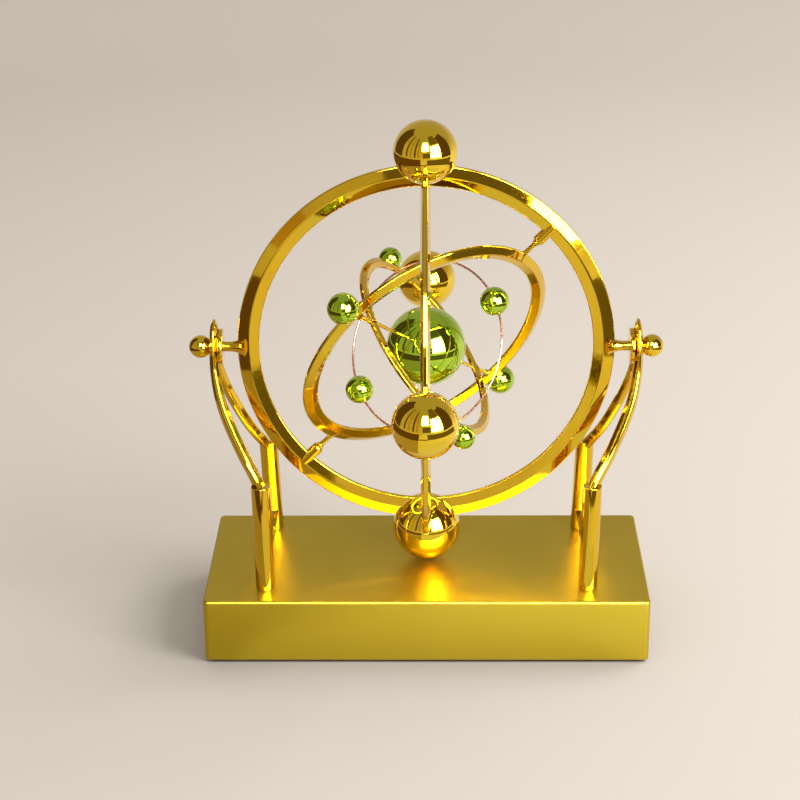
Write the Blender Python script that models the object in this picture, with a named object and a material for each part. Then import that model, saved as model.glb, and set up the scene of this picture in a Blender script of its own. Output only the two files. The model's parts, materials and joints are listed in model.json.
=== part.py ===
"""Desk kinetic sculpture: a magnet-driven gyroscope rotor on a satin gold base.

Metres, +Z up.  The origin is on the table under the middle of the base.  X runs along the
rotor's axle, and -Y is the front.  The base and its two arches stand still.  The rotor, the
middle ring and the inner ring each turn on the one outside it.
"""
import math

import bmesh
import bpy
from mathutils import Matrix, Vector

MM = 0.001
GAP = 0.3 * MM

# Base
BASE_LENGTH = 200 * MM
BASE_DEPTH = 90 * MM
BASE_TOP = 30.8 * MM
BASE_BOTTOM = 1.4 * MM
BASE_CORNER = 2.4 * MM
BASE_EDGE = 1.2 * MM
WALL = 1.6 * MM
PLATE_TOP = 3.8 * MM
FOOT_RADIUS = 6 * MM
FOOT_INSET = 12 * MM

# Posts and arches
POST_X = 72.7 * MM
POST_Y = 31 * MM
POST_RADIUS = 4.3 * MM
POST_HEIGHT = 48 * MM
POST_LEAN = 5.5 * MM
SPUR_HEIGHT = 16 * MM
SPUR_REACH = 19 * MM
POST_BORE = 1.8 * MM
SPIGOT_RADIUS = 1.6 * MM
SPIGOT_LENGTH = 6 * MM
ARM_WIDTH = 5.8 * MM
ARM_THICKNESS = 3.2 * MM
ARM_FOOT_THICKNESS = 5.6 * MM
EYE_RADIUS = 7 * MM

# Rotor
AXIS_HEIGHT = BASE_TOP + 105 * MM
RING_OUTER = 84 * MM
RING_BAND = 9.6 * MM
RING_THICKNESS = 4 * MM
RING_EDGE = 1.8 * MM
BALL_RADIUS = 14 * MM
BALL_ORBIT = 89.5 * MM
BOTTOM_BALL_RADIUS = 15.4 * MM
BOTTOM_BALL_ORBIT = 88.9 * MM
MAGNET_SIZE = (3.4 * MM, 12 * MM, 5 * MM)
AXLE_RADIUS = 2 * MM
FLARE_RADIUS = 3.6 * MM
FLARE_LENGTH = 4 * MM
FLANGE_RADIUS = 7.6 * MM
FLANGE_INSIDE = 90.0 * MM
FLANGE_OUTSIDE = 92.6 * MM
KNOB_X = 100.7 * MM
KNOB_RADIUS = 5.1 * MM

# Middle ring, which turns on a diagonal of the outer ring
DIAGONAL = math.radians(45)
MIDDLE_TURN = math.radians(43)
MIDDLE_OUTER = 61.4 * MM
MIDDLE_BAND = 7 * MM
MIDDLE_THICKNESS = 4.4 * MM
MIDDLE_EDGE = 1.4 * MM
SOCKET_RADIUS = 2.6 * MM
SOCKET_LENGTH = 5.3 * MM
PIN_RADIUS = 1.1 * MM
PIN_TIP_RADIUS = 0.4 * MM
RIM_BALL_ORBIT = 66.9 * MM
RIM_BALL_RADIUS = 6.85 * MM

# Inner ring, which turns on the middle ring's cross axis
INNER_TURN = math.radians(79)
INNER_OUTER = 46 * MM
INNER_BAND = 5 * MM
INNER_THICKNESS = 3 * MM
INNER_EDGE = 1.4 * MM
SMALL_BALL_ORBIT = 48.2 * MM
SMALL_BALL_RADIUS = 5.25 * MM
WIRE_SHORT = 38.6 * MM
WIRE_LONG = 40.2 * MM
WIRE_RADIUS = 0.5 * MM
WIRE_BALL_ORBIT = 38.4 * MM
WIRE_BALL_RADIUS = 6.4 * MM
CENTRE_BALL_RADIUS = 17.7 * MM
ROD_RADIUS = 0.8 * MM

HUB = Vector((0, 0, AXIS_HEIGHT))
X_AXIS = Vector((1, 0, 0))
Y_AXIS = Vector((0, 1, 0))
Z_AXIS = Vector((0, 0, 1))


# ---------------------------------------------------------------- scene, materials, placing

def clear_scene():
    for item in list(bpy.data.objects):
        bpy.data.objects.remove(item, do_unlink=True)


def material(name, colour, roughness, metallic):
    made = bpy.data.materials.new(name)
    made.use_nodes = True
    shader = made.node_tree.nodes["Principled BSDF"]
    shader.inputs["Base Color"].default_value = (*colour, 1)
    shader.inputs["Roughness"].default_value = roughness
    shader.inputs["Metallic"].default_value = metallic
    return made


def add_object(name, mesh, look, parent=None, place=Matrix.Identity(4), smooth=True):
    item = bpy.data.objects.new(name, mesh)
    bpy.context.scene.collection.objects.link(item)
    if look and not mesh.materials:
        mesh.materials.append(look)
    if smooth:
        mesh.shade_smooth()
        mesh.set_sharp_from_angle(angle=math.radians(35))
    item.matrix_world = place
    if parent:
        item.parent = parent
        item.matrix_parent_inverse = parent.matrix_world.inverted()
    return item


def pivot(name, point, axis, parent=None):
    """An empty on a joint's axis, its local Z along the axis."""
    empty = bpy.data.objects.new(name, None)
    bpy.context.scene.collection.objects.link(empty)
    empty.matrix_world = frame_along(point, axis)
    if parent:
        empty.parent = parent
        empty.matrix_parent_inverse = parent.matrix_world.inverted()
    bpy.context.view_layer.update()
    return empty


def frame_along(point, axis, side=None):
    """A placing whose local Z runs along axis, and whose local X is near side."""
    up = Vector(axis).normalized()
    guess = Vector(side) if side else (X_AXIS if abs(up.x) < 0.9 else Y_AXIS)
    across = (guess - up * guess.dot(up)).normalized()
    third = up.cross(across)
    turn = Matrix((across, third, up)).transposed().to_4x4()
    return Matrix.Translation(point) @ turn


def to_mesh(name, bm):
    bmesh.ops.recalc_face_normals(bm, faces=bm.faces)
    mesh = bpy.data.meshes.new(name)
    bm.to_mesh(mesh)
    bm.free()
    return mesh


def cut(item, cutter_mesh, place, operation="DIFFERENCE"):
    """Add a Boolean whose cutter is a hidden guide."""
    guide = bpy.data.objects.new(item.name + "_guide", cutter_mesh)
    bpy.context.scene.collection.objects.link(guide)
    guide.matrix_world = place
    guide.hide_render = True
    guide.display_type = "WIRE"
    change = item.modifiers.new("Shape", "BOOLEAN")
    change.operation = operation
    change.solver = "EXACT"
    change.object = guide


# ---------------------------------------------------------------- mesh makers

def turned(name, profile, segments):
    """A closed outline of (radius, height) points turned about local Z."""
    bm = bmesh.new()
    columns = []
    for step in range(segments):
        angle = math.tau * step / segments
        columns.append([
            None if radius == 0 else bm.verts.new((radius * math.cos(angle), radius * math.sin(angle), height))
            for radius, height in profile
        ])
    poles = [bm.verts.new((0, 0, height)) if radius == 0 else None for radius, height in profile]
    count = len(profile)
    for step in range(segments):
        here = [vert or pole for vert, pole in zip(columns[step], poles)]
        there = [vert or pole for vert, pole in zip(columns[(step + 1) % segments], poles)]
        for row in range(count):
            following = (row + 1) % count
            corners = []
            for vert in (here[row], there[row], there[following], here[following]):
                if vert not in corners:
                    corners.append(vert)
            if len(corners) >= 3:
                bm.faces.new(corners)
    return to_mesh(name, bm)


def rod_profile(radius, low, high, chamfer=0.0):
    if not chamfer:
        return [(0, low), (radius, low), (radius, high), (0, high)]
    return [
        (0, low), (radius - chamfer, low), (radius, low + chamfer),
        (radius, high - chamfer), (radius - chamfer, high), (0, high),
    ]


def rod(name, radius, low, high, segments=16, chamfer=0.0):
    return turned(name, rod_profile(radius, low, high, chamfer), segments)


def ball(name, radius, segments):
    rows = segments // 2
    profile = []
    for row in range(rows + 1):
        angle = math.pi * row / rows
        reach = 0 if row in (0, rows) else radius * math.sin(angle)
        profile.append((reach, -radius * math.cos(angle)))
    return turned(name, profile, segments)


def ridged_ring(name, outer, band, thickness, edge, segments):
    """A ring about local Z whose two faces rise to a sharp ridge in the middle of the band."""
    inner = outer - band
    middle = outer - band / 2
    profile = [
        (outer, -edge / 2), (outer, edge / 2), (middle, thickness / 2),
        (inner, edge / 2), (inner, -edge / 2), (middle, -thickness / 2),
    ]
    return turned(name, profile, segments)


def block(name, low, high):
    bm = bmesh.new()
    bmesh.ops.create_cube(bm, size=1)
    size = Vector(high) - Vector(low)
    middle = (Vector(high) + Vector(low)) / 2
    bmesh.ops.transform(bm, matrix=Matrix.Translation(middle) @ Matrix.Diagonal((*size, 1)), verts=bm.verts)
    return to_mesh(name, bm)


def rounded_outline(length, depth, radius, steps=4):
    points = []
    for quarter in range(4):
        across = 1 if quarter in (0, 3) else -1
        along = 1 if quarter in (0, 1) else -1
        for step in range(steps + 1):
            angle = math.radians(90) * (quarter + step / steps)
            points.append((
                across * (length / 2 - radius) + radius * math.cos(angle),
                along * (depth / 2 - radius) + radius * math.sin(angle),
            ))
    return points


def stacked(name, layers):
    """Closed solid through layers of equal outlines, each a (points, height) pair."""
    bm = bmesh.new()
    loops = [[bm.verts.new((x, y, height)) for x, y in points] for points, height in layers]
    for lower, upper in zip(loops, loops[1:]):
        for step in range(len(lower)):
            following = (step + 1) % len(lower)
            bm.faces.new((lower[step], lower[following], upper[following], upper[step]))
    bm.faces.new(list(reversed(loops[0])))
    bm.faces.new(loops[-1])
    return to_mesh(name, bm)


def swept(name, frames, section):
    """A closed section carried through frames of (point, across, outward) triples."""
    bm = bmesh.new()
    loops = [
        [bm.verts.new(point + across * u + outward * v) for u, v in section(share)]
        for share, (point, across, outward) in frames
    ]
    for lower, upper in zip(loops, loops[1:]):
        for step in range(len(lower)):
            following = (step + 1) % len(lower)
            bm.faces.new((lower[step], lower[following], upper[following], upper[step]))
    bm.faces.new(list(reversed(loops[0])))
    bm.faces.new(loops[-1])
    return to_mesh(name, bm)


def smooth_curve(points, steps):
    """A smooth curve through the given points, with steps stretches between each two."""
    guides = [points[0] * 2 - points[1], *points, points[-1] * 2 - points[-2]]
    curve = []
    for before, start, end, after in zip(guides, guides[1:], guides[2:], guides[3:]):
        for step in range(steps):
            t = step / steps
            curve.append(
                0.5 * (2 * start + (end - before) * t
                       + (2 * before - 5 * start + 4 * end - after) * t ** 2
                       + (3 * start - before - 3 * end + after) * t ** 3)
            )
    curve.append(points[-1])
    return curve


# ---------------------------------------------------------------- base

def make_housing(look):
    heights = [(0, BASE_BOTTOM), (0, BASE_TOP - BASE_EDGE)]
    for step in (1, 2, 3):
        angle = math.radians(30 * step)
        heights.append((BASE_EDGE * (1 - math.cos(angle)), BASE_TOP - BASE_EDGE * (1 - math.sin(angle))))
    layers = []
    for inset, height in heights:
        outline = rounded_outline(BASE_LENGTH - 2 * inset, BASE_DEPTH - 2 * inset, BASE_CORNER - inset)
        layers.append((outline, height))
    housing = add_object("base_housing", stacked("base_housing", layers), look)
    hollow = rounded_outline(BASE_LENGTH - 2 * WALL, BASE_DEPTH - 2 * WALL, BASE_CORNER - WALL)
    hollow_mesh = stacked("hollow", [(hollow, 0), (hollow, BASE_TOP - WALL)])
    cut(housing, hollow_mesh, Matrix.Identity(4))
    boss = rod("boss", 3.6 * MM, PLATE_TOP + GAP, BASE_TOP - WALL / 2)
    bore = rod("bore", 1.4 * MM, 0, BASE_TOP - 3 * WALL)
    for x, y in plate_screw_places():
        cut(housing, boss, Matrix.Translation((x, y, 0)), "UNION")
        cut(housing, bore, Matrix.Translation((x, y, 0)))
    hole = rod("hole", 1.8 * MM, 0.02, 0.04)
    for x, y in post_places():
        cut(housing, hole, Matrix.Translation((x, y, 0)))


def corner_places(x, y):
    return [(side * x, row * y) for row in (-1, 1) for side in (-1, 1)]


def plate_screw_places():
    return corner_places(BASE_LENGTH / 2 - 8 * MM, BASE_DEPTH / 2 - 8 * MM)


def post_places():
    return corner_places(POST_X, POST_Y)


DOOR_X = 48 * MM
DOOR_SIZE = (60 * MM, 34 * MM)
DOOR_TRAVEL = 8 * MM
DOOR_THICKNESS = 1.2 * MM


def make_plate(look):
    outline = rounded_outline(
        BASE_LENGTH - 2 * (WALL + GAP), BASE_DEPTH - 2 * (WALL + GAP), BASE_CORNER - WALL - GAP)
    plate = add_object(
        "base_plate", stacked("base_plate", [(outline, BASE_BOTTOM), (outline, PLATE_TOP)]), look)
    recess_low = (DOOR_X - DOOR_SIZE[0] / 2 - GAP, -DOOR_SIZE[1] / 2 - GAP, 0)
    recess_high = (
        DOOR_X + DOOR_SIZE[0] / 2 + DOOR_TRAVEL + GAP, DOOR_SIZE[1] / 2 + GAP,
        BASE_BOTTOM + DOOR_THICKNESS + GAP)
    cut(plate, block("recess", recess_low, recess_high), Matrix.Identity(4))
    opening = (26 * MM, 14 * MM)
    cut(plate, block("opening", (DOOR_X - opening[0], -opening[1], 0),
                     (DOOR_X + opening[0], opening[1], 0.01)), Matrix.Identity(4))
    seat = BASE_BOTTOM + 1.3 * MM
    hole_profile = [
        (0, 0), (3.2 * MM, 0), (3.2 * MM, seat), (1.5 * MM, seat), (1.5 * MM, 2 * PLATE_TOP), (0, 2 * PLATE_TOP),
    ]
    hole = turned("plate_hole", hole_profile, 12)
    for x, y in plate_screw_places():
        cut(plate, hole, Matrix.Translation((x, y, 0)))
    standoff = rod("standoff", 2.5 * MM, PLATE_TOP - 0.5 * MM, BOARD_BOTTOM - GAP, 8)
    for x, y in corner_places(BOARD_SIZE[0] / 2 - 4 * MM, BOARD_SIZE[1] / 2 - 4 * MM):
        cut(plate, standoff, Matrix.Translation((BOARD_X + x, y, 0)), "UNION")
    pedestal = rod("pedestal", 9 * MM, PLATE_TOP - 0.5 * MM, COIL_BOTTOM - GAP, 20)
    cut(plate, pedestal, Matrix.Identity(4), "UNION")


def make_door(look, parent):
    low = (DOOR_X - DOOR_SIZE[0] / 2, -DOOR_SIZE[1] / 2, BASE_BOTTOM)
    high = (DOOR_X + DOOR_SIZE[0] / 2, DOOR_SIZE[1] / 2, BASE_BOTTOM + DOOR_THICKNESS)
    door = add_object("battery_door", block("battery_door", low, high), look, parent, smooth=False)
    for step in range(3):
        left = DOOR_X - DOOR_SIZE[0] / 2 + (5 + 3 * step) * MM
        groove = block("groove", (left, -8 * MM, 0), (left + 1.2 * MM, 8 * MM, BASE_BOTTOM + 0.5 * MM))
        cut(door, groove, Matrix.Identity(4))


def make_screws(steel):
    for number, (x, y) in enumerate(plate_screw_places(), 1):
        seat = BASE_BOTTOM + 1.0 * MM
        shank = 1.1 * MM
        profile = [
            (0, BASE_BOTTOM + 0.9 * MM), (1.0 * MM, BASE_BOTTOM + 0.2 * MM), (2.8 * MM, BASE_BOTTOM + 0.2 * MM),
            (2.8 * MM, seat), (shank, seat), (shank, seat + 10 * MM), (0, seat + 11 * MM),
        ]
        add_object(f"plate_screw_{number}", turned("plate_screw", profile, 8), steel,
                   place=Matrix.Translation((x, y, 0)))
    head_top = BASE_TOP - WALL - GAP
    for (x, y), name in zip(post_places(), POST_NAMES):
        profile = [
            (0, head_top - 1.2 * MM), (1.0 * MM, head_top - 2.2 * MM), (2.8 * MM, head_top - 2.2 * MM),
            (2.8 * MM, head_top), (1.5 * MM, head_top), (1.5 * MM, BASE_TOP + 8 * MM), (0, BASE_TOP + 9 * MM),
        ]
        add_object(f"{name}_screw", turned("post_screw", profile, 8), steel, place=Matrix.Translation((x, y, 0)))


def make_feet(look):
    mesh = rod("foot", FOOT_RADIUS, 0, BASE_BOTTOM - GAP, 16)
    places = corner_places(BASE_LENGTH / 2 - 2 * FOOT_INSET, BASE_DEPTH / 2 - FOOT_INSET)
    for name, (x, y) in zip(("front_left", "front_right", "rear_left", "rear_right"), places):
        add_object(f"{name}_foot", mesh, look, place=Matrix.Translation((x, y, 0)))


# ---------------------------------------------------------------- drive inside the base

COIL_BOTTOM = 9.5 * MM
COIL_TOP = BASE_TOP - WALL - GAP
COIL_FLANGE = 1.6 * MM
COIL_RADIUS = 16 * MM
CORE_RADIUS = 3 * MM
BOARD_X = -50 * MM
BOARD_SIZE = (44 * MM, 34 * MM, 1.6 * MM)
BOARD_BOTTOM = 8 * MM
BATTERY_SIZE = (46.5 * MM, 26.5 * MM, 17.5 * MM)
BATTERY_BOTTOM = PLATE_TOP + GAP


def make_coil(plastic, copper, steel):
    hub = CORE_RADIUS + GAP + 1.2 * MM
    spool = [
        (CORE_RADIUS + GAP, COIL_BOTTOM), (COIL_RADIUS, COIL_BOTTOM), (COIL_RADIUS, COIL_BOTTOM + COIL_FLANGE),
        (hub, COIL_BOTTOM + COIL_FLANGE), (hub, COIL_TOP - COIL_FLANGE), (COIL_RADIUS, COIL_TOP - COIL_FLANGE),
        (COIL_RADIUS, COIL_TOP), (CORE_RADIUS + GAP, COIL_TOP),
    ]
    add_object("coil_bobbin", turned("coil_bobbin", spool, 20), plastic)
    low = COIL_BOTTOM + COIL_FLANGE + GAP
    high = COIL_TOP - COIL_FLANGE - GAP
    inner = hub + GAP
    outer = COIL_RADIUS - 1.5 * MM
    winding = [(inner, low), (outer, low), (outer, high), (inner, high)]
    add_object("coil_winding", turned("coil_winding", winding, 20), copper)
    add_object("coil_core", rod("coil_core", CORE_RADIUS, COIL_BOTTOM, COIL_TOP, 12), steel)


def make_electronics(board_look, black, casing):
    x, y, z = (value / 2 for value in BOARD_SIZE)
    board = block("circuit_board", (BOARD_X - x, -y, BOARD_BOTTOM), (BOARD_X + x, y, BOARD_BOTTOM + 2 * z))
    add_object("circuit_board", board, board_look, smooth=False)
    foot = BOARD_BOTTOM + BOARD_SIZE[2] + GAP
    body = [
        (BOARD_X + 6 * MM + 4 * MM * math.cos(math.radians(angle)), 4 * MM * math.sin(math.radians(angle)))
        for angle in range(-60, 241, 30)
    ]
    transistor = stacked("drive_transistor", [(body, foot), (body, foot + 7 * MM)])
    add_object("drive_transistor", transistor, black)
    x, y, z = BATTERY_SIZE[0] / 2, BATTERY_SIZE[1] / 2, BATTERY_SIZE[2]
    battery = add_object("battery", stacked("battery", [
        (rounded_outline(BATTERY_SIZE[0], BATTERY_SIZE[1], 2 * MM, 3), BATTERY_BOTTOM),
        (rounded_outline(BATTERY_SIZE[0], BATTERY_SIZE[1], 2 * MM, 3), BATTERY_BOTTOM + z),
    ]), casing, place=Matrix.Translation((DOOR_X, 0, 0)))
    stud = rod("stud", 2.8 * MM, x - 1 * MM, x + 1.6 * MM, 10)
    for side in (-1, 1):
        place = frame_along((DOOR_X, side * 6.5 * MM, BATTERY_BOTTOM + z / 2), X_AXIS)
        cut(battery, stud, place, "UNION")


# ---------------------------------------------------------------- posts, arches, bearings

POST_NAMES = ("left_front_post", "right_front_post", "left_rear_post", "right_rear_post")


def spur_frames(row):
    """From inside a post's foot, forward and down to a point on the base."""
    start = POST_Y - POST_BORE - 2 * GAP
    frames = []
    for step in range(7):
        share = step / 6
        y = start - (start - POST_Y + SPUR_REACH) * share
        z = BASE_TOP + GAP + 0.7 * MM + SPUR_HEIGHT * (1 - share) ** 1.35
        frames.append((share, (Vector((0, row * y, z)), X_AXIS, Vector((0, row * 0.45, 0.9)))))
    return frames


def spur_section(share):
    half = 3.0 * MM * (1 - share) + 0.35 * MM
    rise = 2.2 * MM * (1 - share) + 0.35 * MM
    return [(half, 0), (0, rise), (-half, 0), (0, -rise)]


def post_lean(point):
    """How far a point of a post leans in towards the middle; the two bores stay upright."""
    share = (point.z - BASE_TOP) / POST_HEIGHT
    if math.hypot(point.x, point.y) < POST_RADIUS / 2:
        share = round(share)
    return POST_LEAN * share


def make_posts(look):
    low = BASE_TOP + GAP
    high = BASE_TOP + POST_HEIGHT
    screw_end = BASE_TOP + 9.5 * MM
    spigot_end = high - SPIGOT_LENGTH - GAP
    spigot_bore = SPIGOT_RADIUS + GAP
    chamfer = 0.25 * MM
    profile = [
        (0, screw_end), (POST_BORE, screw_end), (POST_BORE, low), (POST_RADIUS - chamfer, low),
        (POST_RADIUS, low + chamfer), (POST_RADIUS, high - chamfer), (POST_RADIUS - chamfer, high),
        (spigot_bore, high), (spigot_bore, spigot_end), (0, spigot_end),
    ]
    for name, (x, y) in zip(POST_NAMES, post_places()):
        row = 1 if y > 0 else -1
        body = turned("post", profile, 16)
        for vert in body.vertices:
            vert.co.y -= row * post_lean(vert.co)
        post = add_object(name, body, look, place=Matrix.Translation((x, y, 0)))
        spur = swept("spur", spur_frames(row), spur_section)
        cut(post, spur, Matrix.Translation((x, 0, 0)), "UNION")


# Height about the axle, distance out along X and distance from the middle plane, in millimetres
ARM_POINTS = (
    (-60.0, 72.4, 25.8),
    (-54.0, 76.4, 21.2),
    (-46.0, 81.6, 17.4),
    (-34.0, 87.2, 14.0),
    (-22.0, 91.6, 10.8),
    (-10.0, 94.0, 6.9),
    (0.0, 94.5, 5.6),
    (6.4, 94.4, 3.6),
    (9.0, 94.3, 0.0),
)


def arm_frames(steps):
    rising = [Vector((reach * MM, -y * MM, z * MM)) for z, reach, y in ARM_POINTS]
    falling = [Vector((point.x, -point.y, point.z)) for point in reversed(rising[:-1])]
    path = smooth_curve(rising + falling, steps)
    last = len(path) - 1
    frames = []
    for step, point in enumerate(path):
        ahead = path[min(step + 1, last)]
        behind = path[max(step - 1, 0)]
        along = (ahead - behind).normalized()
        outward = (X_AXIS - along * along.x).normalized()
        frames.append((step / last, (point + HUB, along.cross(outward), outward)))
    return frames


def arm_section(share):
    """Thin across the eye at the top, and nearly round at the feet."""
    low = abs(2 * share - 1)
    growth = min(max((low - 0.3) / 0.4, 0), 1)
    half = ARM_WIDTH / 2
    full = (ARM_THICKNESS + (ARM_FOOT_THICKNESS - ARM_THICKNESS) * growth) / 2
    edge = (0.5 + 0.6 * growth) * MM
    return [(half, -edge), (half, edge), (0, full), (-half, edge), (-half, -edge), (0, -full)]


def make_arches(look, bearing_look):
    arch_mesh = swept("arch", arm_frames(2), arm_section)
    plate_low = ARM_POINTS[6][1] * MM - 1.3 * MM
    eye = rod("eye", EYE_RADIUS, plate_low, plate_low + 2.6 * MM, 16)
    bore = rod("eye_bore", AXLE_RADIUS + 1.4 * MM + 2 * GAP, 0.08, 0.11, 12)
    foot_level = BASE_TOP + POST_HEIGHT + GAP
    below = block("below", (0.05, -0.06, foot_level - 0.02), (0.1, 0.06, foot_level))
    spigot = rod("spigot", SPIGOT_RADIUS, foot_level - SPIGOT_LENGTH, foot_level + 2 * MM, 10)
    for side, name in ((-1, "left"), (1, "right")):
        turn = Matrix.Rotation(math.pi if side < 0 else 0, 4, "Z")
        arch = add_object(f"{name}_arch", arch_mesh, look, place=turn)
        cut(arch, eye, turn @ frame_along(HUB, X_AXIS), "UNION")
        cut(arch, bore, turn @ frame_along(HUB, X_AXIS))
        cut(arch, below, turn)
        for row in (-1, 1):
            cut(arch, spigot, Matrix.Translation((side * POST_X, row * (POST_Y - POST_LEAN), 0)), "UNION")
        sleeve = AXLE_RADIUS + 1.4 * MM
        bush = [
            (AXLE_RADIUS + GAP, FLANGE_INSIDE), (FLANGE_RADIUS - 0.6 * MM, FLANGE_INSIDE),
            (FLANGE_RADIUS, FLANGE_INSIDE + 0.6 * MM), (FLANGE_RADIUS, FLANGE_OUTSIDE - 0.6 * MM),
            (FLANGE_RADIUS - 0.6 * MM, FLANGE_OUTSIDE), (sleeve, FLANGE_OUTSIDE), (sleeve, 95.6 * MM),
            (AXLE_RADIUS + GAP, 95.6 * MM),
        ]
        add_object(f"{name}_bearing", turned(f"{name}_bearing", bush, 18), bearing_look,
                   place=turn @ frame_along(HUB, X_AXIS))


# ---------------------------------------------------------------- rotor

def make_rotor(gold, steel, parent):
    ring_mesh = ridged_ring("outer_ring", RING_OUTER, RING_BAND, RING_THICKNESS, RING_EDGE, 56)
    cross_mesh = ring_mesh.copy()
    outer = add_object("outer_ring", ring_mesh, gold, parent, frame_along(HUB, Y_AXIS))
    cross = add_object("cross_ring", cross_mesh, gold, parent, frame_along(HUB, X_AXIS))
    lap = RING_OUTER - RING_BAND / 2
    notch_half = RING_THICKNESS / 2 + GAP
    for up in (1, -1):
        outside = block("outer_notch", (-notch_half, -0.01, lap - GAP / 2), (notch_half, 0.01, 0.1))
        inside = block("cross_notch", (-0.01, -notch_half, 0.06), (0.01, notch_half, lap + GAP / 2))
        turn = frame_along(HUB, Z_AXIS * up, X_AXIS)
        cut(outer, outside, turn)
        cut(cross, inside, turn)
    for side, name in ((-1, "left"), (1, "right")):
        along = frame_along(HUB, X_AXIS * side)
        foot = RING_OUTER + GAP
        tip = KNOB_X - KNOB_RADIUS
        profile = [
            (0, foot), (FLARE_RADIUS, foot), (AXLE_RADIUS + 0.6 * MM, foot + FLARE_LENGTH / 2),
            (AXLE_RADIUS, foot + FLARE_LENGTH), (AXLE_RADIUS, tip - GAP), (1.2 * MM, tip - GAP),
            (1.2 * MM, KNOB_X), (0, KNOB_X),
        ]
        add_object(f"{name}_axle", turned(f"{name}_axle", profile, 12), gold, parent, along)
        knob = add_object(f"{name}_knob", ball(f"{name}_knob", KNOB_RADIUS, 12), gold, parent,
                          along @ Matrix.Translation((0, 0, KNOB_X)))
        cut(knob, rod("knob_bore", 1.5 * MM, tip - 1 * MM, KNOB_X + GAP, 10), along)
    places = (("top", Z_AXIS), ("bottom", -Z_AXIS), ("front", -Y_AXIS), ("rear", Y_AXIS))
    slot_half = RING_THICKNESS / 2 + GAP
    floor = RING_OUTER + GAP
    for name, away in places:
        along = frame_along(HUB, away, X_AXIS)
        radius = BOTTOM_BALL_RADIUS if name == "bottom" else BALL_RADIUS
        orbit = BOTTOM_BALL_ORBIT if name == "bottom" else BALL_ORBIT
        item = add_object(f"{name}_ball", ball(f"{name}_ball", radius, 18), gold, parent,
                          along @ Matrix.Translation((0, 0, orbit)))
        cut(item, block("slot", (-slot_half, -0.02, 0.06), (slot_half, 0.02, floor)), along)
        if abs(away.z) > 0:
            cut(item, block("slot", (-0.02, -slot_half, 0.06), (0.02, slot_half, floor)), along)
        width, length, height = MAGNET_SIZE
        low = floor + GAP / 2
        pocket = block("pocket", (-width / 2 - GAP, -length / 2 - GAP, floor - 0.5 * MM),
                       (width / 2 + GAP, length / 2 + GAP, low + height + GAP))
        cut(item, pocket, along)
        magnet = block("magnet", (-width / 2, -length / 2, low), (width / 2, length / 2, low + height))
        add_object(f"{name}_magnet", magnet, steel, parent, along, smooth=False)
    inner_edge = RING_OUTER - RING_BAND - GAP
    for sign, name in ((1, "upper"), (-1, "lower")):
        along = frame_along(HUB, DIAGONAL_AXIS * sign)
        bore = PIN_RADIUS + GAP
        start = inner_edge - SOCKET_LENGTH
        profile = [
            (bore, start), (SOCKET_RADIUS - 0.4 * MM, start), (SOCKET_RADIUS, start + 0.4 * MM),
            (SOCKET_RADIUS, inner_edge), (0, inner_edge), (0, inner_edge - 1.2 * MM), (bore, inner_edge - 1.2 * MM),
        ]
        add_object(f"{name}_pivot_socket", turned(f"{name}_pivot_socket", profile, 12), gold, parent, along)


# ---------------------------------------------------------------- middle and inner rings

DIAGONAL_AXIS = Vector((math.cos(DIAGONAL), 0, math.sin(DIAGONAL)))
ACROSS = Vector((-math.sin(DIAGONAL), 0, math.cos(DIAGONAL)))
CROSS_AXIS = ACROSS * math.cos(MIDDLE_TURN) - Y_AXIS * math.sin(MIDDLE_TURN)
MIDDLE_NORMAL = DIAGONAL_AXIS.cross(CROSS_AXIS)
TILT_AXIS = DIAGONAL_AXIS * math.cos(INNER_TURN) - MIDDLE_NORMAL * math.sin(INNER_TURN)
INNER_NORMAL = CROSS_AXIS.cross(TILT_AXIS)


def slotted_ball(name, look, parent, along, orbit, radius, half_slot, floor):
    """A ball pushed onto the outer edge of a ring whose normal is the placing's local X."""
    item = add_object(name, ball(name, radius, 12), look, parent, along @ Matrix.Translation((0, 0, orbit)))
    low = orbit - radius - 2 * MM
    cut(item, block("slot", (-half_slot, -radius, low), (half_slot, radius, floor)), along)


def make_middle(gold, green, parent):
    mesh = ridged_ring("middle_ring", MIDDLE_OUTER, MIDDLE_BAND, MIDDLE_THICKNESS, MIDDLE_EDGE, 48)
    ring = add_object("middle_ring", mesh, gold, parent, frame_along(HUB, MIDDLE_NORMAL, DIAGONAL_AXIS))
    inner = MIDDLE_OUTER - MIDDLE_BAND
    dimple = rod("dimple", PIN_TIP_RADIUS + GAP, inner - 2 * MM, inner + 2.2 * MM, 12)
    socket_top = RING_OUTER - RING_BAND - GAP - 1.2 * MM - GAP
    for sign, where, near in ((1, "upper", "near"), (-1, "lower", "far")):
        pin = rod("pin", PIN_RADIUS, MIDDLE_OUTER + GAP, socket_top, 10)
        add_object(f"{where}_pivot_pin", pin, gold, parent, frame_along(HUB, DIAGONAL_AXIS * sign))
        cross = frame_along(HUB, CROSS_AXIS * sign, MIDDLE_NORMAL)
        cut(ring, dimple, cross)
        slotted_ball(f"{near}_rim_ball", green, parent, cross, RIM_BALL_ORBIT, RIM_BALL_RADIUS,
                     MIDDLE_THICKNESS / 2 - 0.1 * MM, MIDDLE_OUTER + GAP)


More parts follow.
